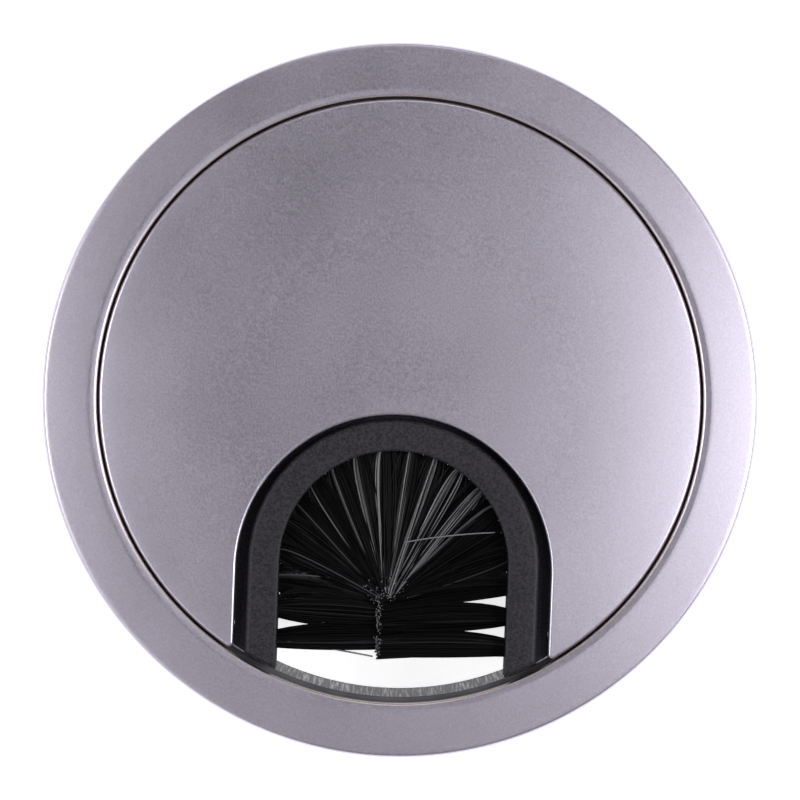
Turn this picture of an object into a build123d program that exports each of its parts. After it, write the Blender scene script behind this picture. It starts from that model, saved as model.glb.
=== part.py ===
from build123d import *
import math
import os

# Desk cable grommet: a cast flanged ring for a hole in a desk top, a cast cover that rests in it, and a
# brush in the cover's U-shaped cable notch. Millimetres, +Z up. The desk top is the plane z = 0, the axis
# of its hole is Z, and the notch opens towards -Y.

# Flanged ring
hole_diameter = 80.0  # hole in the desk top
hole_clearance = 0.25  # tube to hole, each side
flange_reach = 5.0  # past the edge of the hole
flange_thickness = 2.0  # at the top of its crown
flange_edge = 1.5  # at the outer edge, where the crowned top ends
flange_round = 0.6
flange_lower_round = 0.2
tube_depth = 18.0  # below the desk top
tube_wall = 2.3
tube_chamfer = 0.8
bore_chamfer = 0.4
recess_depth = 3.0  # flange top to ledge
recess_round = 0.25
brow_width = 1.1  # band along the recess, where the flange's top rolls inwards
brow_drop = 0.12
ledge_width = 0.75  # step that carries the cover
rib_count = 12  # grip ribs on the tube
rib_radius = 0.8
rib_height = 0.2  # proud of the tube
rib_margin = 3.0  # plain tube above and below a rib

# Cover
cover_gap = 0.35  # cover to recess wall
cover_rise = 0.6  # middle of the cover, above the flange's top
plate_thickness = 2.6  # in the middle
crown_drop = 0.35  # from the middle to the roll
roll_width = 8.7
roll_drop = 0.58
lip_width = 1.3  # steeper band along the edge
lip_drop = 0.45
cover_round = 0.4  # along the edge and the notch
skirt_clearance = 0.25  # skirt to bore
skirt_wall = 1.8
skirt_depth = 5.0  # below the ledge
skirt_round = 0.8  # inside corner under the plate
notch_radius = 19.75
notch_depth = 35.95  # cover's edge to the top of the arch

# Brush holder, and the cast wall under the cover that locates it
side_gap = 1.45  # notch to raised rim, at the legs
top_gap = 0.55  # notch to raised rim, at the top of the arch
rim_width = 3.95
rim_proud = 0.2  # above the flange's top
rim_round = 0.6
rim_inner_round = 0.3
shoulder_reach = 2.25  # under the plate, past the notch
shoulder_thickness = 1.2
shoulder_clearance = 0.1  # to the locating wall
wall_thickness = 1.4
wall_depth = 2.5

# Brush strip, tufts and anchors
strip_thickness = 2.4
strip_height = 4.0
strip_inset = 0.2  # behind the holder's inner face
strip_clearance = 0.05  # above and below the strip in its groove
strip_cover = 1.15  # plastic above and below the groove
strip_end_gap = 0.3  # strip's ends inside the holder's
tuft_count = 20  # evenly spaced along the strip's back
tuft_diameter = 2.4
tuft_seat = 1.8  # depth of a tuft's hole
tuft_margin = 3.65  # leg's end to the last tuft
pleat_count = 7  # ridges of a tuft's section
pleat_depth = 0.22  # share of the radius
tuft_steps = 3  # straight lengths that a tuft bends in
tuft_bend = 0.3  # share of its length that a tuft keeps its hole's direction
arch_drop = 4.6  # point that the arch tufts lean to, below the arch's centre
arch_stop = 3.6  # their tips to that point
arch_tip_width = 0.45
arch_tip_height = 2.4
leg_droop = 0.335  # share of a leg tuft's distance from the leg's end that its tip drops
leg_tip_width = 2.0
leg_tip_height = 1.0
leg_tip_lap = 1.5  # past the middle of the notch
leg_tip_lift = 0.65  # right-hand tufts above, left-hand tufts below
anchor_bite = 0.2  # into the strip, at each end
anchor_height = 1.0
anchor_thickness = 0.3
anchor_fold = 0.2  # bristles folded behind an anchor

# Radii about Z
tube_radius = hole_diameter / 2 - hole_clearance
bore_radius = tube_radius - tube_wall
recess_radius = bore_radius + ledge_width
flange_radius = hole_diameter / 2 + flange_reach
cover_radius = recess_radius - cover_gap
skirt_radius = bore_radius - skirt_clearance
skirt_inner_radius = skirt_radius - skirt_wall

# Levels
ledge_z = flange_thickness - recess_depth
brow_z = flange_thickness - brow_drop
cover_z = flange_thickness + cover_rise
plate_z = cover_z - plate_thickness
roll_z = cover_z - crown_drop
lip_z = roll_z - roll_drop
edge_z = lip_z - lip_drop
skirt_z = ledge_z - skirt_depth
rim_z = flange_thickness + rim_proud
groove_height = strip_height + 2 * strip_clearance
tuft_z = rim_z - strip_cover - groove_height / 2
holder_z = tuft_z - groove_height / 2 - strip_cover

# Arches, about the notch's centre or the holder's
notch_y = notch_depth - notch_radius - cover_radius
holder_y = notch_y + side_gap - top_gap
rim_radius = notch_radius - side_gap
inner_radius = rim_radius - rim_width
shoulder_radius = notch_radius + shoulder_reach
wall_radius = shoulder_radius + shoulder_clearance
strip_radius = inner_radius + strip_inset
groove_radius = strip_radius + strip_thickness
leg_length = math.sqrt(skirt_radius**2 - inner_radius**2) + holder_y

far = 2 * (flange_radius + tube_depth)  # past everything, for cuts


# U-shaped area that is open towards -Y
def arch(radius, centre_y):
    legs = Pos(0, -far / 2) * Rectangle(2 * radius, far)
    return Pos(0, centre_y) * (Circle(radius) + legs)


def slab(area, low, high):
    return extrude(Pos(0, 0, low) * area, amount=high - low)


# Slab with its middle at the level of the tufts
def level_slab(area, height):
    return slab(area, tuft_z - height / 2, tuft_z + height / 2)


def circles_at(solid, radius, z):
    rings = solid.edges().filter_by(GeomType.CIRCLE)
    return rings.filter_by(lambda e: math.isclose(e.radius, radius) and abs(e.arc_center.Z - z) < 1e-6)


# Does an edge run along the U of this radius?
def on_arch(edge, radius, centre_y):
    middle = edge @ 0.5
    return math.isclose(math.hypot(middle.X, max(0, middle.Y - centre_y)), radius, rel_tol=1e-6)


# Does an edge lie at this distance from the Z axis?
def on_circle(edge, radius):
    middle = edge @ 0.5
    return math.isclose(math.hypot(middle.X, middle.Y), radius, rel_tol=1e-6)


def frame_ring():
    crest = (recess_radius + brow_width, flange_thickness)
    brow = TangentArc(crest, (recess_radius, brow_z), tangent=(-1, 0))
    top = TangentArc(crest, (flange_radius, flange_edge), tangent=(1, 0))
    walls = Polyline(
        (flange_radius, flange_edge),
        (flange_radius, 0),
        (tube_radius, 0),
        (tube_radius, -tube_depth),
        (bore_radius, -tube_depth),
        (bore_radius, ledge_z),
        (recess_radius, ledge_z),
        (recess_radius, brow_z),
    )
    ring = revolve(Plane.XZ * make_face([brow, top, walls]), Axis.Z)
    ring = fillet(circles_at(ring, flange_radius, flange_edge), flange_round)
    ring = fillet(circles_at(ring, flange_radius, 0), flange_lower_round)
    ring = fillet(circles_at(ring, recess_radius, brow_z), recess_round)
    ring = chamfer(circles_at(ring, tube_radius, -tube_depth), tube_chamfer)
    ring = chamfer(circles_at(ring, bore_radius, -tube_depth), bore_chamfer)
    rib = Cylinder(rib_radius, tube_depth - 2 * rib_margin)
    rib = chamfer(rib.edges().group_by(Axis.Z)[0], rib_radius / 2)
    rib_place = tube_radius + rib_height - rib_radius
    return ring + [Pos(0, 0, -tube_depth / 2) * place * rib for place in PolarLocations(rib_place, rib_count)]


def cover():
    lip_radius = cover_radius - lip_width
    crown = TangentArc((0, cover_z), (lip_radius - roll_width, roll_z), tangent=(1, 0))
    roll = TangentArc(crown @ 1, (lip_radius, lip_z), tangent=crown % 1)
    lip = TangentArc(roll @ 1, (cover_radius, edge_z), tangent=roll % 1)
    walls = Polyline(
        lip @ 1,
        (cover_radius, ledge_z),
        (skirt_radius, ledge_z),
        (skirt_radius, skirt_z),
        (skirt_inner_radius, skirt_z),
        (skirt_inner_radius, plate_z),
        (0, plate_z),
        crown @ 0,
    )
    lid = revolve(Plane.XZ * make_face([crown, roll, lip, walls]), Axis.Z)
    lid = fillet(circles_at(lid, skirt_inner_radius, plate_z), skirt_round)
    lid -= slab(arch(notch_radius, notch_y), -far, far)
    notch_edges = lid.edges().filter_by(lambda e: on_arch(e, notch_radius, notch_y))
    upper = notch_edges.filter_by(lambda e: (e @ 0.5).Z > edge_z and e.geom_type != GeomType.LINE)
    corners = notch_edges.filter_by(lambda e: on_circle(e, cover_radius))
    lid = fillet(upper + corners + circles_at(lid, cover_radius, edge_z), cover_round)
    band = arch(wall_radius + wall_thickness, holder_y) - arch(wall_radius, holder_y)
    return lid + slab(band & Circle(skirt_radius - skirt_wall / 2), plate_z - wall_depth, plate_z)


def brush_holder():
    band = arch(rim_radius, holder_y) - arch(inner_radius, holder_y)
    rim = slab(band & Circle(skirt_radius), holder_z, rim_z)
    top = rim.edges().group_by(Axis.Z)[-1]
    rim = fillet(top.filter_by(lambda e: not on_arch(e, inner_radius, holder_y)), rim_round)
    top = rim.edges().group_by(Axis.Z)[-1]
    rim = fillet(top.filter_by(lambda e: on_arch(e, inner_radius, holder_y)), rim_inner_round)
    inside_skirt = Circle(skirt_inner_radius - skirt_round - shoulder_clearance)
    under_plate = arch(shoulder_radius, holder_y) & inside_skirt
    in_notch = arch(notch_radius - shoulder_clearance, notch_y) & Circle(skirt_radius)
    shoulder = under_plate + in_notch - arch(inner_radius, holder_y)
    holder = rim + slab(shoulder, plate_z - shoulder_thickness, plate_z)
    return holder - level_slab(arch(groove_radius, holder_y), groove_height)


# Plane of a tuft's hole on the strip's inner face: X along the strip, Z out of the hole
def seat(index):
    quarter = math.pi / 2 * groove_radius
    pitch = 2 * (quarter + leg_length - tuft_margin) / (tuft_count - 1)
    run = (index - (tuft_count - 1) / 2) * pitch
    turn = max(-quarter, min(run, quarter)) / groove_radius
    past = max(0, abs(run) - quarter)
    outward = Vector(math.sin(turn), math.cos(turn), 0)
    mouth = Vector(0, holder_y - past, tuft_z) + outward * strip_radius
    return Plane(origin=mouth, x_dir=(outward.Y, -outward.X, 0), z_dir=-outward), past


def anchor(index):
    place, _ = seat(index)
    middle = anchor_fold + anchor_height / 2 - tuft_seat
    return place * Pos(0, 0, middle) * Box(tuft_diameter + 2 * anchor_bite, anchor_thickness, anchor_height)


def brush_strip():
    band = arch(groove_radius, holder_y) - arch(strip_radius, holder_y)
    strip = level_slab(band & Circle(skirt_radius - strip_end_gap), strip_height)
    hole = Pos(0, 0, -tuft_seat) * extrude(Circle(tuft_diameter / 2), amount=tuft_seat + strip_thickness)
    strip -= [seat(index)[0] * hole for index in range(tuft_count)]
    return strip - [anchor(index) for index in range(tuft_count)]


# Pleated section of a bundle of bristles
def pleated(width, height):
    points = []
    for index in range(2 * pleat_count):
        angle = math.pi * index / pleat_count
        reach = 0.5 if index % 2 else 0.5 * (1 - pleat_depth)
        points.append((reach * width * math.cos(angle), reach * height * math.sin(angle)))
    return make_face(Polyline(*points, close=True))


def bristle_tuft(index):
    place, past = seat(index)
    mouth = place.origin
    side = math.copysign(1, mouth.X)
    if past:
        drop = (leg_length - past) * leg_droop
        tip = Vector(-side * leg_tip_lap, mouth.Y - drop, tuft_z + side * leg_tip_lift)
        tip_width, tip_height = leg_tip_width, leg_tip_height
    else:
        lean = Vector(0, holder_y - arch_drop, tuft_z)
        tip = lean + (mouth - lean).normalized() * arch_stop
        tip_width, tip_height = arch_tip_width, arch_tip_height
    bend = mouth + place.z_dir * (tip - mouth).length * tuft_bend
    bend.Z = tip.Z
    sections = [place * Pos(0, 0, -tuft_seat) * pleated(tuft_diameter, tuft_diameter)]
    for step in range(tuft_steps + 1):
        share = step / tuft_steps
        centre = mouth * (1 - share) ** 2 + bend * (2 * share * (1 - share)) + tip * share**2
        along = (bend - mouth) * (1 - share) + (tip - bend) * share
        across = Vector(-along.Y, along.X, 0)
        width = tuft_diameter + (tip_width - tuft_diameter) * share
        height = tuft_diameter + (tip_height - tuft_diameter) * share
        sections.append(Plane(origin=centre, x_dir=across, z_dir=along) * pleated(width, height))
    return loft(sections, ruled=True) - anchor(index)


nodes = {
    "frame_ring": frame_ring(),
    "cover": cover(),
    "brush_holder": brush_holder(),
    "brush_strip": brush_strip(),
    "tuft_anchors": Compound([anchor(index) for index in range(tuft_count)]),
}
for index in range(tuft_count):
    nodes[f"bristle_tuft_{index + 1:02d}"] = bristle_tuft(index)

os.makedirs("parts", exist_ok=True)
for name, solid in nodes.items():
    export_step(solid, f"parts/{name}.step")
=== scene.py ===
import math
import random

import bmesh
import bpy
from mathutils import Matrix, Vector
from mathutils.geometry import delaunay_2d_cdt


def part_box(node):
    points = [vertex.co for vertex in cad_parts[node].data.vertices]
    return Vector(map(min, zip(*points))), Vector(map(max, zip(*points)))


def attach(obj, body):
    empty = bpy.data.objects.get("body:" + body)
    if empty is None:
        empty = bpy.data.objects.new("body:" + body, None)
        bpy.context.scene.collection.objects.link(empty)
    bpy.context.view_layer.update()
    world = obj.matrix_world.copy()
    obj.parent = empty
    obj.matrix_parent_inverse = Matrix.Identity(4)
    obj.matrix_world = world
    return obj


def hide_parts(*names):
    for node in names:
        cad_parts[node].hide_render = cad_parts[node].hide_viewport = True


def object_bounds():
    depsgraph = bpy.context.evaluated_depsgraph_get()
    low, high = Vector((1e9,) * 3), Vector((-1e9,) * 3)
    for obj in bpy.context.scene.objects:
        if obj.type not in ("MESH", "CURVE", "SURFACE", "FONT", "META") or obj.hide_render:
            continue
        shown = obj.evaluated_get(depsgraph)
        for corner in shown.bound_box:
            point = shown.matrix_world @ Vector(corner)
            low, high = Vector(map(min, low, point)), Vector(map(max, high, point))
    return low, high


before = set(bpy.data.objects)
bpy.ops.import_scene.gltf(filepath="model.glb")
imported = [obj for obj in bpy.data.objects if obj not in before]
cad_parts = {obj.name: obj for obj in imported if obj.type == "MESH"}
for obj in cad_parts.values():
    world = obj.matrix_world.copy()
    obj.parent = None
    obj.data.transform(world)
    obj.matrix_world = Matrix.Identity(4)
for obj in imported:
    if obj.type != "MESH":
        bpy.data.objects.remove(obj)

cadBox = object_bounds()
millimetre = 0.001  # pieces are laid out in millimetres and built in metres
random.seed(80)


def sizeOf(node):
    low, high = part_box(node)
    return low / millimetre, high / millimetre


ringLow, ringHigh = sizeOf("frame_ring")
coverLow, coverHigh = sizeOf("cover")
holderLow, holderHigh = sizeOf("brush_holder")
stripLow, stripHigh = sizeOf("brush_strip")
print("frame:", len(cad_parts), "nodes")


# An output socket that can be used in sums. An expression on it adds the Math nodes.
class Wire:
    def __init__(self, tree, socket=None):
        self.tree = tree
        self.socket = socket

    def node(self, kind, settings=None, sockets=None, output=0):
        made = self.tree.nodes.new(kind)
        for name, value in (settings or {}).items():
            setattr(made, name, value)
        for name, value in (sockets or {}).items():
            if isinstance(value, Wire):
                self.tree.links.new(value.socket, made.inputs[name])
            else:
                made.inputs[name].default_value = value
        return Wire(self.tree, made.outputs[output]) if made.outputs else None

    def join(self, operation, first, second):
        return self.node("ShaderNodeMath", {"operation": operation}, {0: first, 1: second})

    def __add__(self, other):
        return self.join("ADD", self, other)

    def __radd__(self, other):
        return self.join("ADD", other, self)

    def __sub__(self, other):
        return self.join("SUBTRACT", self, other)

    def __rsub__(self, other):
        return self.join("SUBTRACT", other, self)

    def __mul__(self, other):
        return self.join("MULTIPLY", self, other)

    def __rmul__(self, other):
        return self.join("MULTIPLY", other, self)


def startFinish(name):
    material = bpy.data.materials.new(name)
    material.use_nodes = True
    material.node_tree.nodes.clear()
    return material, Wire(material.node_tree)


def closeFinish(wire, sockets):
    shader = wire.node("ShaderNodeBsdfPrincipled", {}, sockets)
    wire.node("ShaderNodeOutputMaterial", {}, {"Surface": shader})


# Cloudy noise with blotches of this size, in metres, along X, Y and Z
def blotches(wire, size, detail=2.0):
    place = wire.node("ShaderNodeTexCoord", output="Object")
    scale = [1 / step for step in size]
    place = wire.node("ShaderNodeVectorMath", {"operation": "MULTIPLY"}, {0: place, 1: scale})
    return wire.node("ShaderNodeTexNoise", {}, {"Vector": place, "Scale": 1.0, "Detail": detail})


# The number that a piece has at each of its points, under this name
def markOf(wire, name):
    return wire.node("ShaderNodeAttribute", {"attribute_name": name}, output="Fac")


def tint(wire, share, first, second):
    return wire.node("ShaderNodeMix", {"data_type": "RGBA"}, {0: share, 6: first, 7: second}, output=2)


# The part of a value between low and high, drawn out to 0 and 1
def stretched(wire, value, low, high):
    return wire.node("ShaderNodeMapRange", {}, {"Value": value, "From Min": low, "From Max": high})


def dented(wire, height, strength, depth):
    return wire.node("ShaderNodeBump", {}, {"Strength": strength, "Distance": depth, "Height": height})


satin = {
    "dark": (0.440, 0.409, 0.489, 1),
    "light": (0.542, 0.503, 0.602, 1),
    "lip": (0.72, 0.62, 0.56, 1),  # painted highlight, a lighter and warmer colour on the rounded lip of the ring's recess
    "lipPolish": 0.06,  # the lip is smoother by this much
    "roughness": 0.36,
    "grain": (0.00021, 0.00027, 0.00021),
    "grainRange": (0.3, 0.7),
    "grainShare": 0.8,  # of the change in colour, the clouds make the rest
    "grainRoughness": 0.06,
    "grainDent": (0.06, 0.000013),  # strength and depth
    "clouds": (0.012, 0.018, 0.012),
    "cloudDetail": 1.0,
    "cloudRoughness": 0.05,
}


def satinFinish():
    material, wire = startFinish("satinMetal")
    grain = stretched(wire, blotches(wire, satin["grain"]), *satin["grainRange"])
    clouds = blotches(wire, satin["clouds"], satin["cloudDetail"])
    lip = markOf(wire, "edge")
    share = grain * satin["grainShare"] + clouds * (1 - satin["grainShare"])
    colour = tint(wire, share, satin["dark"], satin["light"])
    roughness = satin["roughness"] + (grain - 0.5) * satin["grainRoughness"]
    roughness = roughness + (clouds - 0.5) * satin["cloudRoughness"]
    closeFinish(wire, {
        # the lip mark paints a highlight colour on the rounded lip of the ring's recess
        "Base Color": tint(wire, lip, colour, satin["lip"]),
        "Metallic": 1.0,
        "Roughness": roughness - lip * satin["lipPolish"],
        "Normal": dented(wire, grain, *satin["grainDent"]),
    })
    return material


castWall = {
    "dark": (0.050, 0.052, 0.062, 1),
    "light": (0.42, 0.42, 0.45, 1),
    "pitch": 0.00030,  # one drawn line
    "waver": 60.0,  # how fast the lines change down the wall
    "lineDetail": 3.0,
    "lineRange": (0.48, 0.72),
    "lineRoughness": 0.12,
    "lineDent": (0.5, 0.00006),
    "metallic": 0.4,
    "roughness": 0.55,
}


# Inside of the tube, with the lines that the casting's core draws in it
def castFinish():
    material, wire = startFinish("castWall")
    place = {"Vector": wire.node("ShaderNodeTexCoord", output="Object")}
    across, along, depth = [wire.node("ShaderNodeSeparateXYZ", {}, place, output=axis) for axis in "XYZ"]
    turn = wire.join("ARCTAN2", along, across) * (ring["bore"] * millimetre / castWall["pitch"])
    spot = wire.node("ShaderNodeCombineXYZ", {}, {"X": turn, "Y": depth * castWall["waver"], "Z": 0.0})
    noise = {"Vector": spot, "Scale": 1.0, "Detail": castWall["lineDetail"]}
    lines = stretched(wire, wire.node("ShaderNodeTexNoise", {}, noise), *castWall["lineRange"])
    closeFinish(wire, {
        "Base Color": tint(wire, lines, castWall["dark"], castWall["light"]),
        "Metallic": castWall["metallic"],
        "Roughness": castWall["roughness"] - lines * castWall["lineRoughness"],
        "Normal": dented(wire, lines, *castWall["lineDent"]),
    })
    return material


shadedDullMetal = {
    "dark": (0.055, 0.055, 0.063, 1),
    "light": (0.15, 0.147, 0.163, 1),
    "clouds": (0.004, 0.004, 0.0006),
    "roughness": (0.45, 0.2),  # least, and how much the clouds add
}


# Recess, ledge, tube and undersides, left dull, with a dark colour that is painted shade in the recess and
# in the gaps round the lid
def shadedDullFinish():
    material, wire = startFinish("shadedDullMetal")
    clouds = blotches(wire, shadedDullMetal["clouds"])
    least, more = shadedDullMetal["roughness"]
    closeFinish(wire, {
        # the dark colour is painted shade for the recess, the ledge and the gaps round the lid
        "Base Color": tint(wire, clouds, shadedDullMetal["dark"], shadedDullMetal["light"]),
        "Metallic": 1.0,
        "Roughness": least + clouds * more,
    })
    return material


moulding = {
    "dark": (0.0003, 0.0003, 0.0007, 1),
    "light": (0.024, 0.0205, 0.030, 1),
    "grain": (0.00026, 0.00026, 0.00026),
    "grainDetail": 3.0,
    "grainRange": (0.36, 0.66),
    "grainRoughness": 0.2,
    "grainDent": (0.5, 0.00005),
    "roughness": 0.58,
    "specular": 0.15,
    "edgeCoat": 0.3,  # handled smooth along its edges
    "coatRoughness": 0.5,
}


# Black plastic with the fine grain of a spark-eroded mould
def mouldingFinish():
    material, wire = startFinish("grainedPlastic")
    grain = blotches(wire, moulding["grain"], moulding["grainDetail"])
    grain = stretched(wire, grain, *moulding["grainRange"])
    closeFinish(wire, {
        "Base Color": tint(wire, grain, moulding["dark"], moulding["light"]),
        "Roughness": moulding["roughness"] + (grain - 0.5) * moulding["grainRoughness"],
        "Specular IOR Level": moulding["specular"],
        "Coat Weight": markOf(wire, "edge") * moulding["edgeCoat"],
        "Coat Roughness": moulding["coatRoughness"],
        "Normal": dented(wire, grain, *moulding["grainDent"]),
    })
    return material


stripPlastic = {
    "dark": (0.010, 0.010, 0.011, 1),
    "light": (0.020, 0.020, 0.022, 1),
    "flow": (0.0012, 0.0012, 0.00018),  # drawn along the strip
    "flowDent": (0.2, 0.00003),
    "roughness": (0.36, 0.12),  # least, and how much the flow adds
}


def stripFinish():
    material, wire = startFinish("drawnPlastic")
    flow = blotches(wire, stripPlastic["flow"])
    least, more = stripPlastic["roughness"]
    closeFinish(wire, {
        "Base Color": tint(wire, flow, stripPlastic["dark"], stripPlastic["light"]),
        "Roughness": least + flow * more,
        "Normal": dented(wire, flow, *stripPlastic["flowDent"]),
    })
    return material


nylon = {
    "dark": (0.0007, 0.0006, 0.0009, 1),
    # light: painted sheen, the colour of strands that catch the light
    "light": (0.132, 0.127, 0.140, 1),
    "tip": (0.24, 0.235, 0.25, 1),  # fresh cut ends
    "roughness": 0.5,
    "glossPolish": 0.2,  # a glossy strand is smoother by this much
    "scuff": (0.0009, 0.0009, 0.0009),
    "scuffRoughness": 0.15,
    "specular": 0.04,
    "coatRoughness": 0.28,
    "coatIndex": 1.8,
}


# Black nylon, with a coat of gloss on the strands that lie on top of a tuft; those strands also get a
# lighter base colour, a painted sheen
def nylonFinish():
    material, wire = startFinish("blackNylon")
    glossAndSheen = markOf(wire, "glossAndSheen")
    scuff = blotches(wire, nylon["scuff"])
    # strands with more of this mark get a lighter base colour, a painted sheen
    colour = tint(wire, glossAndSheen, nylon["dark"], nylon["light"])
    roughness = nylon["roughness"] - glossAndSheen * nylon["glossPolish"]
    closeFinish(wire, {
        "Base Color": tint(wire, markOf(wire, "tip"), colour, nylon["tip"]),
        "Roughness": roughness + (scuff - 0.5) * nylon["scuffRoughness"],
        "Specular IOR Level": nylon["specular"],
        "Coat Weight": glossAndSheen,
        "Coat Roughness": nylon["coatRoughness"],
        "Coat IOR": nylon["coatIndex"],
    })
    return material


brass = {
    "dark": (0.55, 0.38, 0.16, 1),
    "light": (0.72, 0.53, 0.26, 1),
    "drawn": (0.0008, 0.0008, 0.0001),
    "roughness": (0.26, 0.16),  # least, and how much the drawn streaks add
}


def brassFinish():
    material, wire = startFinish("brassWire")
    drawn = blotches(wire, brass["drawn"])
    least, more = brass["roughness"]
    closeFinish(wire, {
        "Base Color": tint(wire, drawn, brass["dark"], brass["light"]),
        "Metallic": 1.0,
        "Roughness": least + drawn * more,
    })
    return material


# Piece from millimetre points, smooth but for its sharp edges. For each face, finishAt has the place of its
# finish in the list. For each point, a mark has a number, and facing has the normal, or a zero vector where
# the faces give it.
def buildPiece(name, points, faces, finishes, nodes, finishAt=(), marks=None, facing=None, sharp=32):
    mesh = bpy.data.meshes.new(name)
    mesh.from_pydata([[value * millimetre for value in point] for point in points], [], faces)
    for finish in finishes:
        mesh.materials.append(finish)
    if finishAt:
        mesh.polygons.foreach_set("material_index", finishAt)
    for mark, values in (marks or {}).items():
        mesh.attributes.new(mark, "FLOAT", "POINT").data.foreach_set("value", values)
    shell = bmesh.new()
    shell.from_mesh(mesh)
    bmesh.ops.recalc_face_normals(shell, faces=shell.faces)
    shell.to_mesh(mesh)
    shell.free()
    mesh.shade_smooth()
    mesh.set_sharp_from_angle(angle=math.radians(sharp))
    if facing:
        mesh.normals_split_custom_set_from_vertices(facing)
    piece = bpy.data.objects.new(name, mesh)
    bpy.context.collection.objects.link(piece)
    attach(piece, "root")
    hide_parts(*nodes)
    return piece


def arc(x, y, radius, first, sweep, steps):
    angles = [first + sweep * step / steps for step in range(steps + 1)]
    return [(x + radius * math.cos(angle), y + radius * math.sin(angle)) for angle in angles]


# Loop through corners of (across, up, radius), and for each of its points 1 on a rounded stretch or 0
def roundCorners(corners, steps=6):
    loop = []
    rounded = []
    for index, (across, up, radius) in enumerate(corners):
        if not radius:
            loop.append((across, up))
            rounded.append(0.0)
            continue
        here = Vector((across, up))
        before = (Vector(corners[index - 1][:2]) - here).normalized()
        after = (Vector(corners[(index + 1) % len(corners)][:2]) - here).normalized()
        half = before.angle(after) / 2
        centre = here + (before + after).normalized() * (radius / math.sin(half))
        start = here + before * (radius / math.tan(half)) - centre
        sweep = math.pi - 2 * half
        if start.x * before.y - start.y * before.x > 0:
            sweep = -sweep
        loop += arc(centre.x, centre.y, radius, math.atan2(start.y, start.x), sweep, steps)
        rounded += [1.0] * (steps + 1)
    return loop, rounded


ring = {
    "flange": ringHigh.x,
    "crest": 39.05,
    "crestFlat": 0.06,  # to each side of the crest
    "top": 2.0,
    "edge": 1.5,  # top of the flange's outer edge
    "brow": 1.88,  # and of its inner edge
    "browSteps": (0.42, 0.62),  # points on the brow, out from the recess
    "fall": 0.85,  # share of the fall that is straight, the rest is curved
    "crownSteps": 14,
    "edgeRound": (0.55, 1.1),  # across and down
    "edgeSteps": 8,
    "underRound": 0.2,  # flange's lower edge
    "recess": 38.1,
    "lipRound": 0.33,
    "lipWidth": 0.2,  # of the polished lip, which also carries the painted highlight colour
    "ledge": -1.0,
    "ledgeRound": 0.12,
    "ledgeBand": 0.2,  # below the ledge, as dull as the ledge and with the same painted shade
    "tube": 39.75,
    "tubeChamfer": 0.8,
    "bore": 37.45,
    "boreChamfer": 0.4,
    "foot": ringLow.z,
    "segments": 960,
    "ribs": 12,
    "ribRadius": 0.8,
    "ribHeight": 0.2,
    "ribTop": -3.0,
    "ribFoot": -14.6,
    "ribSlopes": (0.05, 0.2),  # down to the tube, at a rib's top and foot
    "lineDepth": 0.05,  # cast lines in the bore
    "lineRows": 5,
    "lineTop": -1.6,
    "lineFoot": ringLow.z + 0.9,
}


# Height of the flange's top, which falls away to both sides of its crest
def flangeTop(reach):
    width = (ring["flange"] if reach > ring["crest"] else ring["recess"]) - ring["crest"]
    drop = ring["top"] - (ring["edge"] if reach > ring["crest"] else ring["brow"])
    share = (reach - ring["crest"]) / width
    return ring["top"] - drop * (ring["fall"] * share + (1 - ring["fall"]) * share**2)


# Corners of the ring's section, from the ledge over the flange and down the tube to the bore's lines
def ringCorners():
    roundAcross, roundDown = ring["edgeRound"]
    crownStart = ring["crest"] + ring["crestFlat"]
    crownEnd = ring["flange"] - roundAcross
    crownWidth = crownEnd - crownStart
    crownSteps = ring["crownSteps"]
    topSpots = [ring["recess"] + step for step in ring["browSteps"]] + [ring["crest"] - ring["crestFlat"]]
    topSpots += [crownStart + crownWidth * step / crownSteps for step in range(crownSteps + 1)]
    edgeTop = flangeTop(crownEnd)
    edgeArc = arc(0, 0, 1, 0, math.pi / 2, ring["edgeSteps"])[-2:0:-1]
    topSlope, footSlope = ring["ribSlopes"]
    lineRun = ring["lineTop"] - ring["lineFoot"]
    return [
        (ring["bore"], ring["ledge"], ring["ledgeRound"]),
        (ring["recess"], ring["ledge"], 0),
        (ring["recess"], ring["brow"], ring["lipRound"]),
        *[(reach, flangeTop(reach), 0) for reach in topSpots],
        *[(crownEnd + roundAcross * across, edgeTop - roundDown * (1 - up), 0) for across, up in edgeArc],
        (ring["flange"], edgeTop - roundDown, 0),
        (ring["flange"], 0, ring["underRound"]),
        (ring["tube"], 0, 0),
        (ring["tube"], ring["ribTop"], 0),
        (ring["tube"], ring["ribTop"] - topSlope, 0),
        (ring["tube"], ring["ribFoot"], 0),
        (ring["tube"], ring["ribFoot"] - footSlope, 0),
        (ring["tube"], ring["foot"] + ring["tubeChamfer"], 0),
        (ring["tube"] - ring["tubeChamfer"], ring["foot"], 0),
        (ring["bore"] + ring["boreChamfer"], ring["foot"], 0),
        (ring["bore"], ring["foot"] + ring["boreChamfer"], 0),
        *[(ring["bore"], ring["lineFoot"] + lineRun * row / (ring["lineRows"] - 1), 0)
          for row in range(ring["lineRows"])],
    ]


# How far a grip rib stands out of the tube at this angle
def ribReach(angle):
    spacing = math.tau / ring["ribs"]
    off = ring["tube"] * ((angle + spacing / 2) % spacing - spacing / 2)
    core = ring["ribRadius"] - ring["ribHeight"]
    return max(0, math.sqrt(max(0, ring["ribRadius"]**2 - off**2)) - core)


# Place in the ring's finishes of the one for a face between these two points of the section
def ringFinish(start, end):
    satinFace, castFace, shadeFace = range(3)
    reach = max(start[0], end[0])
    low, high = sorted((start[1], end[1]))
    # recess wall, ledge and the band below it take the dull finish with painted shade
    if reach <= ring["recess"] and low >= ring["ledge"] - ring["ledgeBand"]:
        return shadeFace
    if reach <= ring["bore"] and start[1] > ring["foot"]:
        return castFace
    return shadeFace if high <= 0 else satinFace


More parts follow.
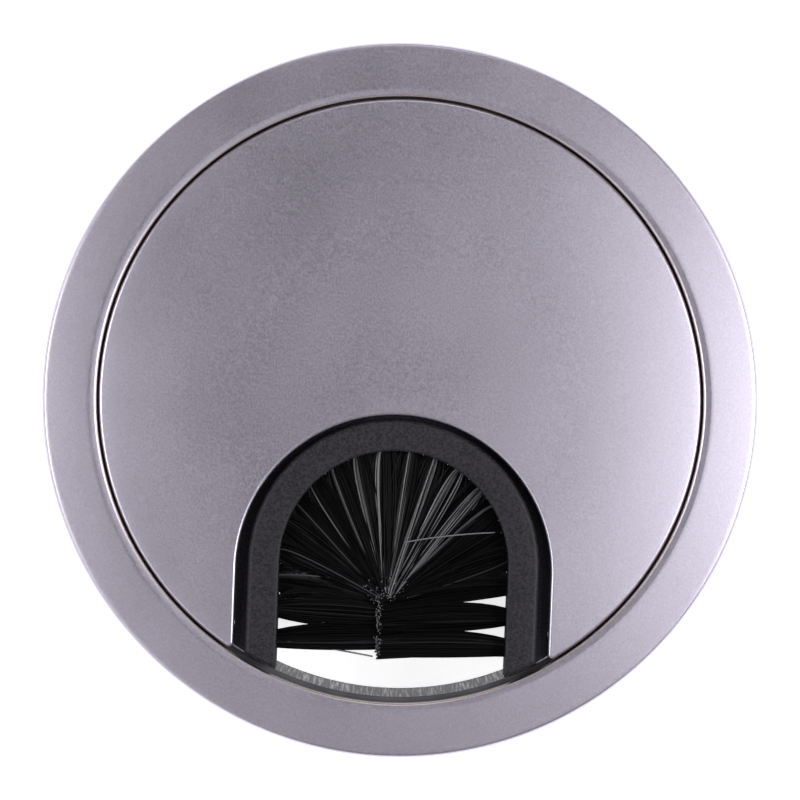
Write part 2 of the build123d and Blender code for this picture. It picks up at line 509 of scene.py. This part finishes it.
def buildRing(finishes):
    section, rounded = roundCorners(ringCorners())
    count = len(section)
    segments = ring["segments"]
    lines = [random.random() for _ in range(segments)]
    points = []
    for turn in range(segments):
        angle = math.tau * turn / segments
        line = (lines[turn] + lines[turn - 1]) / 2
        for index, (reach, up) in enumerate(section):
            if reach == ring["tube"] and ring["ribFoot"] <= up < ring["ribTop"]:
                reach += ribReach(angle)
            elif index >= count - ring["lineRows"]:
                reach += ring["lineDepth"] * line
            points.append((reach * math.cos(angle), reach * math.sin(angle), up))
    faces = []
    for turn in range(segments):
        here = turn * count
        there = (turn + 1) % segments * count
        for index in range(count):
            after = (index + 1) % count
            faces.append((here + index, here + after, there + after, there + index))
    finishAt = [ringFinish(section[index], section[(index + 1) % count]) for index in range(count)]
    lipEnd = ring["recess"] + ring["lipWidth"]
    # mark of the lip that is smoother and painted with a highlight colour
    lip = [value if reach < lipEnd and up > 0 else 0.0 for value, (reach, up) in zip(rounded, section)]
    return buildPiece("flangedRing", points, faces, finishes, ["frame_ring"],
                      finishAt * segments, {"edge": lip * segments})


lid = {
    "radius": coverHigh.x,
    "top": [(0, coverHigh.z), (20, 2.45), (36.55, 1.63), (coverHigh.x, 1.50)],  # crown, roll and lip
    # radii of the top's rings of points, by the spacing of those points
    "topRings": {2.5: range(3, 34, 3), 0.8: (34.2, 35, 35.5, 35.9, 36.3, 36.7, 37.1)},
    "topTwist": 0.1,  # turn of a ring's first point, for each millimetre of radius
    "round": 0.4,  # along the rim and the notch
    "roundSteps": 6,
    "rimSteps": 400,
    "corner": 0.6,  # in plan, where the notch meets the rim
    "cornerSteps": 8,
    "notch": 19.75,
    "notchY": -21.65,
    "notchSteps": 120,
    "notchClear": 0.6,  # from its rounded edge to the first points of the top's rings
    "legSteps": 12,
    "ledge": -1.0,
    "plate": 0.0,  # underside
    "skirt": 37.2,
    "skirtInside": 35.4,
    "skirtFoot": coverLow.z,
    "skirtRound": 0.8,
    "skirtRows": (0, 0.05, 0.2, 0.4, 0.7, 1),  # shares of the round, where it has points
    "skirtSteps": 300,
    "wall": holderHigh.x + 0.1,  # cast wall that locates the holder
    "wallThickness": 1.4,
    "wallDepth": 2.5,
    "wallY": -20.75,
    "wallSteps": 80,
    "slack": 0.001,  # for points that lie on a limit
    "rimBand": 0.005,  # points of the outline this near the rim are on it
    "digits": 4,  # decimals to which places and heights are compared
}
# the lid's underside and upright walls take the dull finish with painted shade
lidSatin, lidShade = range(2)  # in the order of the lid's finishes


# Arcs of the lid's top, each going on in the direction of the one before: outer end, radius and centre
def lidArcs():
    arcs = []
    lean = 0
    for (start, high), (end, low) in zip(lid["top"], lid["top"][1:]):
        endLean = 2 * math.atan2(high - low, end - start) - lean
        radius = (end - start) / (math.sin(endLean) - math.sin(lean))
        arcs.append((end, radius, start - radius * math.sin(lean), high - radius * math.cos(lean)))
        lean = endLean
    return arcs


lid["arcs"] = lidArcs()


# Height of the lid's top, and its normal
def lidTop(spot):
    reach = math.hypot(*spot)
    for end, radius, middle, level in lid["arcs"]:
        if reach <= end + lid["slack"]:
            break
    rise = math.sqrt(radius**2 - (reach - middle)**2)
    outward = (reach - middle) / max(reach, lid["slack"])
    return level + rise, Vector((outward * spot[0], outward * spot[1], rise)).normalized()


# Centre of the rounded corner between notch and rim
def lidCorner():
    across = lid["notch"] + lid["corner"]
    return across, -math.sqrt((lid["radius"] - lid["corner"])**2 - across**2)


# Direction from a point of the outline into the lid
def lidInward(spot):
    cornerX, cornerY = lidCorner()
    if spot.length > lid["radius"] - lid["rimBand"]:
        inward = -spot
    elif spot.y < cornerY:
        inward = Vector((math.copysign(cornerX, spot.x), cornerY)) - spot
    else:
        inward = Vector((spot.x, max(0, spot.y - lid["notchY"])))
    return inward.normalized()


def lidOutline():
    cornerX, cornerY = lidCorner()
    cornerSteps = lid["cornerSteps"]
    rimStart = math.atan2(cornerY, cornerX)
    cornerSweep = math.pi + rimStart
    legRise = lid["notchY"] - cornerY
    leg = [(lid["notch"], cornerY + legRise * step / lid["legSteps"]) for step in range(1, lid["legSteps"])]
    outline = arc(0, 0, lid["radius"], rimStart, math.pi - 2 * rimStart, lid["rimSteps"])
    outline += arc(-cornerX, cornerY, lid["corner"], math.pi - rimStart, cornerSweep, cornerSteps)[1:]
    outline += [(-x, y) for x, y in leg]
    outline += arc(0, lid["notchY"], lid["notch"], math.pi, -math.pi, lid["notchSteps"])
    outline += list(reversed(leg))
    outline += arc(cornerX, cornerY, lid["corner"], math.pi, cornerSweep, cornerSteps)[:-1]
    return outline


# Arc about Z that ends on the notch's two sides
def lidArc(radius):
    end = -math.acos(lid["notch"] / radius)
    return arc(0, 0, radius, end, math.pi - 2 * end, lid["skirtSteps"])


# Line of the locating wall, which ends on the skirt
def wallLine(radius):
    foot = -math.sqrt(lid["skirtInside"]**2 - radius**2)
    bow = arc(0, lid["wallY"], radius, math.pi, -math.pi, lid["wallSteps"])
    return [(-radius, foot)] + bow + [(radius, foot)]


# Triangles inside a loop that keep to the strands and take in the dots
def triangulate(loop, strands=(), dots=()):
    points = [Vector(point) for point in loop]
    edges = []
    for strand in strands:
        first = len(points)
        points += [Vector(point) for point in strand]
        edges += [(index, index + 1) for index in range(first, len(points) - 1)]
    points += [Vector(dot) for dot in dots]
    inside = 1  # keeps only what is inside the loop
    nearest = 0.00001  # closer points become one
    found = delaunay_2d_cdt(points, edges, [list(range(len(loop)))], inside, nearest)
    return [(point.x, point.y) for point in found[0]], [list(face) for face in found[2]]


def archDistance(x, y, centreY):
    return math.hypot(x, max(0, y - centreY))


# Height of the lid's underside at a point, in the band that the middle of its triangle is in
def lidUnder(point, middle):
    reach = math.hypot(*middle)
    if reach > lid["skirt"]:
        return lid["ledge"]
    if reach > lid["skirtInside"]:
        return lid["skirtFoot"]
    if 0 < archDistance(*middle, lid["wallY"]) - lid["wall"] < lid["wallThickness"]:
        return lid["plate"] - lid["wallDepth"]
    into = max(0, math.hypot(*point) - lid["skirtInside"] + lid["skirtRound"])
    return lid["plate"] - lid["skirtRound"] + math.sqrt(max(0, lid["skirtRound"]**2 - into**2))


# The shell's point at this place, added if there is none
def shellPoint(shell, x, y, z):
    key = tuple(round(value, lid["digits"]) for value in (x, y, z))
    if key not in shell["known"]:
        shell["known"][key] = len(shell["points"])
        shell["points"].append((x, y, z))
    return shell["known"][key]


def shellFace(shell, corners, finish):
    shell["faces"].append(corners)
    shell["finishAt"].append(finish)


# Underside. Gives its plan, the plan's triangles, and the heights that meet at each point of the plan and
# along each side of a triangle.
def lidUnderside(shell):
    strands = [lidArc(lid["skirt"])]
    strands += [lidArc(lid["skirtInside"] - lid["skirtRound"] * share) for share in lid["skirtRows"]]
    strands += [wallLine(lid["wall"]), wallLine(lid["wall"] + lid["wallThickness"])]
    plan, triangles = triangulate(lidOutline(), strands)
    heights = {}
    sides = {}
    for triangle in triangles:
        corners = [plan[index] for index in triangle]
        middle = (sum(x for x, _ in corners) / 3, sum(y for _, y in corners) / 3)
        under = [round(lidUnder(corner, middle), lid["digits"]) for corner in corners]
        shellFace(shell, [shellPoint(shell, *corner, z) for corner, z in zip(corners, under)], lidShade)
        for index, z in zip(triangle, under):
            heights.setdefault(index, set()).add(z)
        for step in range(3):
            start, end = triangle[step], triangle[step - 2]
            band = {start: under[step], end: under[step - 2]}
            sides.setdefault(frozenset((start, end)), []).append(band)
    return plan, triangles, heights, sides


# Points of the plan along the rim and the notch, in order
def lidLoop(triangles, sides):
    onward = {}
    for triangle in triangles:
        for step in range(3):
            start, end = triangle[step], triangle[step - 2]
            if len(sides[frozenset((start, end))]) == 1:
                onward[start] = end
    loop = [next(iter(onward))]
    while onward[loop[-1]] != loop[0]:
        loop.append(onward[loop[-1]])
    return loop


# Rounded edge, from the upright side in to the top. Gives the heights where it starts, by point of the plan,
# and the plan where it ends.
def lidEdge(shell, plan, loop):
    columns = []
    inset = []
    for index in loop:
        here = Vector(plan[index])
        inward = lidInward(here)
        column = []
        for step in range(lid["roundSteps"] + 1):
            angle = math.pi / 2 * step / lid["roundSteps"]
            spot = here + inward * (lid["round"] * (1 - math.cos(angle)))
            height, normal = lidTop(spot)
            column.append(shellPoint(shell, *spot, height - lid["round"] * (1 - math.sin(angle))))
            normal = normal * math.sin(angle) - inward.to_3d() * math.cos(angle)
            shell["facing"][column[-1]] = normal.normalized()
        columns.append(column)
        inset.append((here + inward * lid["round"])[:])
    for place, column in enumerate(columns):
        before = columns[place - 1]
        for low in range(lid["roundSteps"]):
            shellFace(shell, [before[low], column[low], column[low + 1], before[low + 1]], lidSatin)
    lowest = [round(shell["points"][column[0]][2], lid["digits"]) for column in columns]
    return dict(zip(loop, lowest)), inset


# Upright walls between the underside's heights, and up to the rounded edge, in the dull finish with painted
# shade
def lidWalls(shell, plan, heights, sides, edgeFoot):
    for index, z in edgeFoot.items():
        heights[index].add(z)
    for ends, bands in sides.items():
        one, other = bands if len(bands) == 2 else (bands[0], edgeFoot)
        wall = []
        for index, downward in zip(ends, (False, True)):
            low, high = sorted((one[index], other[index]))
            between = sorted((z for z in heights[index] if low <= z <= high), reverse=downward)
            wall += [shellPoint(shell, *plan[index], z) for z in between]
        if len(set(wall)) > 2:
            shellFace(shell, wall, lidShade)


# Top, inside the rounded edge
def lidCrown(shell, inset):
    dots = [(0, 0)]
    for spacing, reaches in lid["topRings"].items():
        for reach in reaches:
            count = int(math.tau * reach / spacing)
            dots += arc(0, 0, reach, lid["topTwist"] * reach, math.tau * (count - 1) / count, count - 1)
    clear = lid["notch"] + lid["round"] + lid["notchClear"]
    dots = [dot for dot in dots if archDistance(*dot, lid["notchY"]) > clear]
    plan, triangles = triangulate(inset, dots=dots)
    top = [shellPoint(shell, *spot, lidTop(spot)[0]) for spot in plan]
    shell["facing"].update({index: lidTop(spot)[1] for index, spot in zip(top, plan)})
    for triangle in triangles:
        shellFace(shell, [top[index] for index in triangle], lidSatin)


def buildLid(finishes):
    shell = {"points": [], "known": {}, "facing": {}, "faces": [], "finishAt": []}
    plan, triangles, heights, sides = lidUnderside(shell)
    edgeFoot, inset = lidEdge(shell, plan, lidLoop(triangles, sides))
    lidWalls(shell, plan, heights, sides, edgeFoot)
    lidCrown(shell, inset)
    facing = [shell["facing"].get(index, Vector()) for index in range(len(shell["points"]))]
    return buildPiece("notchedLid", shell["points"], shell["faces"], finishes, ["cover"],
                      shell["finishAt"], facing=facing)


holder = {
    "centreY": lid["wallY"],
    "inner": 14.35,
    "outer": 18.3,
    "top": holderHigh.z,
    "topRound": 0.6,
    "innerRound": 0.3,
    "foot": holderLow.z,
    "footRound": 0.15,
    "groove": stripHigh.x,
    "grooveTop": stripHigh.z + 0.05,
    "grooveFoot": stripLow.z - 0.05,
    "grooveRound": 0.1,
    "shoulder": holderHigh.x,
    "shoulderTop": 0.0,
    "shoulderThickness": 1.2,
    "shoulderRound": 0.15,
    "shoulderInNotch": 19.73,
    "shoulderInLid": 34.5,  # where the shoulder ends inside the lid's skirt
    "roundSteps": 5,
    "end": 37.2,  # the legs' ends, about Z
    "endSteps": 6,
    "legSteps": 36,
    "archSteps": 120,
}


def holderSection():
    shoulderFoot = holder["shoulderTop"] - holder["shoulderThickness"]
    return roundCorners([
        (holder["inner"], holder["foot"], holder["footRound"]),
        (holder["inner"], holder["grooveFoot"], holder["grooveRound"]),
        (holder["groove"], holder["grooveFoot"], 0),
        (holder["groove"], holder["grooveTop"], 0),
        (holder["inner"], holder["grooveTop"], holder["grooveRound"]),
        (holder["inner"], holder["top"], holder["innerRound"]),
        (holder["outer"], holder["top"], holder["topRound"]),
        (holder["outer"], holder["shoulderTop"], 0),
        (holder["shoulder"], holder["shoulderTop"], holder["shoulderRound"]),
        (holder["shoulder"], shoulderFoot, holder["shoulderRound"]),
        (holder["outer"], shoulderFoot, 0),
        (holder["outer"], holder["foot"], holder["footRound"]),
    ], holder["roundSteps"])


# Point of a leg, this many steps from its end to the arch. The first steps round the top edge of the end.
def legPoint(reach, up, step):
    legEnd = -math.sqrt(holder["end"]**2 - min(reach, holder["shoulderInNotch"])**2)
    endSteps = holder["endSteps"]
    topRound = holder["topRound"]
    if step <= endSteps:
        back = topRound * (1 - math.cos(math.pi / 2 * step / endSteps))
        lowered = math.sqrt(max(0, topRound**2 - (topRound - back)**2))
        up = min(up, holder["top"] - topRound + lowered)
    else:
        share = (step - endSteps) / (holder["legSteps"] - endSteps)
        back = topRound + (holder["centreY"] - legEnd - topRound) * share
    y = legEnd + back
    if reach > holder["outer"]:
        room = math.sqrt(holder["shoulderInLid"]**2 - y**2)
        reach -= holder["shoulder"] - min(holder["shoulder"], max(holder["shoulderInNotch"], room))
    return reach, y, up


def buildHolder(plastic):
    section, rounded = holderSection()
    count = len(section)
    steps = range(holder["legSteps"] + 1)
    rightLeg = [[legPoint(reach, up, step) for reach, up in section] for step in steps]
    stations = [[(-x, y, z) for x, y, z in station] for station in rightLeg]
    for step in range(1, holder["archSteps"]):
        angle = math.pi * (1 - step / holder["archSteps"])
        across, along = math.cos(angle), math.sin(angle)
        stations.append([(reach * across, holder["centreY"] + reach * along, up) for reach, up in section])
    stations += reversed(rightLeg)
    points = [point for station in stations for point in station]
    faces = [list(range(count)), list(range(len(points) - count, len(points)))]
    for station in range(len(stations) - 1):
        here = station * count
        there = here + count
        for index in range(count):
            after = (index + 1) % count
            faces.append((here + index, here + after, there + after, there + index))
    return buildPiece("brushHolder", points, faces, [plastic], ["brush_holder"],
                      marks={"edge": rounded * len(stations)})


brush = {
    "tufts": 20,
    "level": (stripLow.z + stripHigh.z) / 2,
    "mouth": 14.55,  # strip's inner face
    "margin": 3.65,  # leg's end to the last tuft
    "hole": 1.2,
    "depth": 1.5,  # how far a strand goes into its hole
    "packingTurn": 2.39996,  # from strand to strand in a hole, the golden angle
    "strandRadius": 0.095,
    "thickness": (0.88, 1.1),  # least and most, in shares of that radius
    "sides": 6,
    "rings": 11,
    "cutEnd": 0.12,
    # tufts of the arch
    "archStrands": 150,
    "archDrop": 4.6,  # point that they lean to, below the arch's centre
    "archSide": -0.7,
    "archStop": (0.2, 3.4),  # strand's end to that point
    "archTip": (0.5, 1.2),  # half width and half height of a tuft's end
    "archTipScatter": (0.22, 0.1),
    "archBend": 0.12,
    "archSplay": 1.0,
    "archSplayScatter": 0.3,
    # tufts of the legs, in lists from the lowest tuft up
    "legStrands": 125,
    "rightDroop": (0.45, 1.1, 2.8),  # ends of the tufts below their holes
    "leftDroop": (-0.7, 0.4, 2.2),
    "rightTip": (1.65, 1.35, 1.1),  # half widths of their ends
    "leftTip": (1.5, 1.5, 1.2),
    "legTipHeight": 0.7,
    "legTipScatter": 0.13,
    "legLap": 1.6,
    "legLapScatter": 0.2,
    "legLift": 0.65,
    "legBend": 0.4,
    "rightSplay": 1.3,
    "leftSplay": 1.7,
    "lowSplay": 0.3,  # of the strands along the brush's lower edge
    "legSplayScatter": 0.18,
    # strands that swing out at a hole's edge, to each of these sides of a tuft
    "flares": 28,
    "archFlares": (-1, 1),
    "rightFlares": ((), (), (-1,)),
    "leftFlares": ((), (1,), (-1, 1)),
    "archFlare": 2.8,  # how far they swing
    "legFlare": 4.2,
    "flareShare": (0.1, 1),  # least and most of that
    "flareOut": 1.1,  # from the hole to the swing
    "flareHeight": (-0.75, 0.6),  # in the hole, in shares of its radius
    # strands that catch the light, from tuft 1 on: middle and half width in the hole, and gloss, which also
    # lightens their colour as painted sheen
    "lit": [
        (-0.2, 0.2, 0.1), (0.1, 0.3, 0.08), (0.45, 0.35, 0.6),
        (0.0, 0.15, 0.4), (0.3, 0.2, 0.45), (-0.3, 0.1, 0.3), (-0.8, 0.16, 0.9),
        (-0.7, 0.35, 0.4), (-0.6, 0.35, 0.6), (-0.6, 0.22, 0.65), (-0.15, 0.28, 0.65),
        (-0.05, 0.26, 0.85), (0.1, 0.55, 1.0), (0.4, 0.5, 1.0), (-0.4, 0.15, 0.6),
        (0.5, 0.1, 0.15), (0.2, 0.12, 0.25), (0.0, 0.2, 0.1), (0.3, 0.14, 0.1), (-0.4, 0.12, 0.1),
    ],
    "litAbove": -0.1,  # height in the hole, in shares of its radius
    "litPower": 1.5,  # the higher, the fewer strands are bright
    "unlitGlossAndSheen": 0.03,
    "flareGlossAndSheen": 0.06,
    "strays": {  # bend and end of single strands, by tuft
        0: [((-8, -31.6, -1.2), (-2.2, -32.45, -1.2)), ((-8, -31.55, -1.4), (-2.5, -32.4, -1.3))],
        15: [((7.2, -16.5, 0.8), (1.3, -17.85, 0.7))],
    },
    "strayHeight": 0.8,  # in the hole, in shares of its radius
}


# Mouth of a tuft's hole, the way out of it, and how far down a leg it is, or 0 on the arch
def tuftSeat(index):
    quarter = math.pi / 2 * holder["groove"]
    leg = math.sqrt(holder["end"]**2 - holder["inner"]**2) + holder["centreY"]
    pitch = 2 * (quarter + leg - brush["margin"]) / (brush["tufts"] - 1)
    run = (index - (brush["tufts"] - 1) / 2) * pitch
    turn = max(-quarter, min(run, quarter)) / holder["groove"]
    past = max(0, abs(run) - quarter)
    outward = Vector((math.sin(turn), math.cos(turn), 0))
    mouth = Vector((0, holder["centreY"] - past, brush["level"])) + outward * brush["mouth"]
    return mouth, -outward, past


# Closed tube along a path of points, added to a tuft's lists
def addStrand(tuft, path, radius, glossAndSheen):
    sides = brush["sides"]
    first = len(tuft["points"])
    for step, spot in enumerate(path):
        ahead = path[min(step + 1, len(path) - 1)] - path[max(step - 1, 0)]
        across = ahead.cross(Vector((0, 0, 1))).normalized()
        over = across.cross(ahead).normalized()
        for side in range(sides):
            angle = math.tau * side / sides
            point = spot + across * (radius * math.cos(angle)) + over * (radius * math.sin(angle))
            tuft["points"].append(point)
            tuft["glossAndSheen"].append(glossAndSheen)
            tuft["tip"].append(1.0 if step == len(path) - 1 else 0.0)
    for step in range(len(path) - 1):
        low = first + step * sides
        for side in range(sides):
            after = (side + 1) % sides
            tuft["faces"].append((low + side, low + after, low + sides + after, low + sides + side))
    tuft["faces"].append(list(range(first, first + sides)))
    tuft["faces"].append(list(range(len(tuft["points"]) - sides, len(tuft["points"]))))


def curve(start, bend, end, steps):
    shares = [step / steps for step in range(steps + 1)]
    return [start * (1 - s)**2 + bend * (2 * s * (1 - s)) + end * s**2 for s in shares]


# The point that bends a strand of a leg's tuft, and where the strand ends. The strand lies at u across and
# v up in its hole, and the order counts from the lowest tuft up.
def legStrand(root, out, across, u, v, order):
    side = math.copysign(1, root.x)
    name = "right" if side > 0 else "left"
    lap = brush["legLap"] + random.gauss(0, brush["legLapScatter"])
    level = brush["level"] + side * brush["legLift"] + v * brush["legTipHeight"]
    tip = Vector((-side * lap, root.y - brush[name + "Droop"][order], level))
    spread = brush[name + "Tip"][order] - brush["hole"]
    tip += across * (u * spread + random.gauss(0, brush["legTipScatter"]))
    bend = root + out * ((tip - root).length * brush["legBend"])
    splay = brush["lowSplay"] if order == 0 and u * side > 0 else brush[name + "Splay"]
    bend += across * (u * splay + random.gauss(0, brush["legSplayScatter"]))
    bend.z = (root.z + tip.z) / 2
    return bend, tip


# The same for a tuft of the arch, whose strands lean to one point
def archStrand(root, out, across, u, v):
    lean = Vector((brush["archSide"], holder["centreY"] - brush["archDrop"], brush["level"]))
    middle = root - across * (u * brush["hole"]) - Vector((0, 0, v * brush["hole"]))
    tip = lean + (middle - lean).normalized() * random.uniform(*brush["archStop"])
    halfWidth, halfHeight = brush["archTip"]
    sideScatter, riseScatter = brush["archTipScatter"]
    sideways = u * halfWidth + random.gauss(0, sideScatter)
    rise = v * halfHeight + random.gauss(0, riseScatter)
    tip += across * sideways + Vector((0, 0, rise))
    bend = root + out * ((tip - root).length * brush["archBend"])
    bend += across * (u * brush["archSplay"] + random.gauss(0, brush["archSplayScatter"]))
    bend.z = (root.z + tip.z) / 2
    return bend, tip


def tuftStrands(index):
    mouth, out, past = tuftSeat(index)
    order = min(index, brush["tufts"] - 1 - index)
    across = Vector((-out.y, out.x, 0))
    up = Vector((0, 0, 1))
    tuft = {"points": [], "faces": [], "glossAndSheen": [], "tip": []}
    room = brush["hole"] - brush["strandRadius"]

    def rootAt(u, v):
        return mouth + across * (u * room) + up * (v * room)

    def ends(root, u, v):
        if past:
            return legStrand(root, out, across, u, v, order)
        return archStrand(root, out, across, u, v)

    def grow(root, bend, tip, glossAndSheen):
        path = [root - out * brush["depth"]] + curve(root, bend, tip, brush["rings"] - 3)
        path.insert(-1, tip + (path[-2] - tip).normalized() * brush["cutEnd"])
        addStrand(tuft, path, brush["strandRadius"] * random.uniform(*brush["thickness"]), glossAndSheen)

    count = brush["legStrands" if past else "archStrands"]
    litAt, litWidth, litGlossAndSheen = brush["lit"][index]
    for strand in range(count):
        spread = math.sqrt((strand + 0.5) / count)  # packed as evenly as a sunflower's seeds
        angle = strand * brush["packingTurn"] + index
        u = spread * math.cos(angle)
        v = spread * math.sin(angle)
        root = rootAt(u, v)
        bend, tip = ends(root, u, v)
        if abs(u - litAt) < litWidth and v > brush["litAbove"]:
            glossAndSheen = litGlossAndSheen * random.random()**brush["litPower"]
        else:
            glossAndSheen = random.uniform(0, brush["unlitGlossAndSheen"])
        grow(root, bend, tip, glossAndSheen)

    flareReach = brush["legFlare" if past else "archFlare"]
    flareSides = brush["archFlares"]
    if past:
        flareSides = brush["rightFlares" if mouth.x > 0 else "leftFlares"][order]
    for side in flareSides:
        for _ in range(brush["flares"]):
            v = random.uniform(*brush["flareHeight"])
            u = side * math.sqrt(1 - v**2)
            root = rootAt(u, v)
            tip = ends(root, u, v)[1]
            flare = across * (side * flareReach * random.uniform(*brush["flareShare"]))
            bend = root + out * brush["flareOut"] + flare
            grow(root, bend, tip, random.uniform(0, brush["flareGlossAndSheen"]))

    # stray strands get full gloss and full painted sheen
    for bend, tip in brush["strays"].get(index, []):
        grow(rootAt(0, brush["strayHeight"]), Vector(bend), Vector(tip), 1.0)
    return tuft


def buildBrush(nylonBlack):
    for index in range(brush["tufts"]):
        number = f"{index + 1:02d}"
        tuft = tuftStrands(index)
        marks = {"glossAndSheen": tuft["glossAndSheen"], "tip": tuft["tip"]}
        buildPiece("bristles" + number, tuft["points"], tuft["faces"], [nylonBlack],
                   ["bristle_tuft_" + number], marks=marks, sharp=70)


satinMetal = satinFinish()
paintedShadeMetal = shadedDullFinish()
buildRing([satinMetal, castFinish(), paintedShadeMetal])
buildLid([satinMetal, paintedShadeMetal])
print("metal: ring and lid")
buildHolder(mouldingFinish())
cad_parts["brush_strip"].material_slots[0].material = stripFinish()
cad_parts["tuft_anchors"].material_slots[0].material = brassFinish()
buildBrush(nylonFinish())
print("brush: holder, strip and", brush["tufts"], "tufts")


studio = {
    "floor": (0.90, 0.90, 0.905, 1),
    "floorGlow": 0.85,
    "surround": 0.9,  # radius and height of the grey wall round the floor
    "surroundHeight": 0.8,
    "surroundSides": 48,
    "wall": (0.40, 0.40, 0.40, 1),
    "wallGlow": 0.13,
    "roughness": 0.7,
    "sky": (1.0, 0.985, 1.02, 1),
    "skyStrength": 0.02,
    "boxes": {
        "rightHighBox": {"turn": 0, "zenith": 22, "power": 0.6},
        "rightBox": {"turn": 0, "zenith": 42, "power": 4.3},
        "leftBox": {"turn": 180, "zenith": 42, "power": 3.0},
        "backBox": {"turn": 90, "zenith": 42, "power": 0.7},
        "frontBox": {"turn": 270, "zenith": 22, "power": 0.15},
        "frontLeftBox": {"turn": 225, "zenith": 42, "power": 0.6},
    },
    "boxSize": 0.34,
    "boxDistance": 0.8,
    "cameraHeight": 0.522,
    "frameWidth": 0.1007,  # across the picture, at the flange
    "roll": 2.2,
}


def softBox(name, turn, zenith, power):
    light = bpy.data.lights.new(name, "AREA")
    light.shape = "SQUARE"
    light.size = studio["boxSize"]
    light.energy = power
    lamp = bpy.data.objects.new(name, light)
    lean = math.radians(zenith)
    around = math.radians(turn)
    across = math.sin(lean)
    place = Vector((across * math.cos(around), across * math.sin(around), math.cos(lean)))
    lamp.location = place * studio["boxDistance"]
    lamp.rotation_euler = (-place).to_track_quat("-Z", "Y").to_euler()
    bpy.context.collection.objects.link(lamp)


def paleFinish(name, colour, glow):
    material, wire = startFinish(name)
    closeFinish(wire, {
        "Base Color": colour,
        "Roughness": studio["roughness"],
        "Emission Color": colour,
        "Emission Strength": glow,
    })
    return material


def buildFloor():
    mesh = bpy.data.meshes.new("floor")
    sides = studio["surroundSides"]
    plan = arc(0, 0, studio["surround"], 0, math.tau * (sides - 1) / sides, sides - 1)
    points = [(x, y, z) for z in (0, studio["surroundHeight"]) for x, y in plan]
    faces = [list(range(sides))]
    for side in range(sides):
        after = (side + 1) % sides
        faces.append((side, after, sides + after, sides + side))
    mesh.from_pydata(points, [], faces)
    mesh.materials.append(paleFinish("paleFloor", studio["floor"], studio["floorGlow"]))
    mesh.materials.append(paleFinish("greyWall", studio["wall"], studio["wallGlow"]))
    mesh.polygons.foreach_set("material_index", [0] + [1] * sides)
    floor = bpy.data.objects.new("floor", mesh)
    floor.location.z = cadBox[0].z
    bpy.context.collection.objects.link(floor)


def buildStudio():
    buildFloor()
    for name, box in studio["boxes"].items():
        softBox(name, **box)
    scene = bpy.context.scene
    scene.world = bpy.data.worlds.new("studioSky")
    scene.world.use_nodes = True
    sky = scene.world.node_tree.nodes["Background"]
    sky.inputs["Color"].default_value = studio["sky"]
    sky.inputs["Strength"].default_value = studio["skyStrength"]
    scene.view_settings.view_transform = "Standard"
    camera = bpy.data.cameras.new("camera")
    camera.lens = camera.sensor_width * studio["cameraHeight"] / studio["frameWidth"]
    shot = bpy.data.objects.new("camera", camera)
    shot.location = (0, 0, studio["cameraHeight"])
    shot.rotation_euler = (0, 0, math.radians(studio["roll"]))
    bpy.context.collection.objects.link(shot)
    scene.camera = shot


buildStudio()
print("studio: floor,", len(studio["boxes"]), "soft boxes and camera")
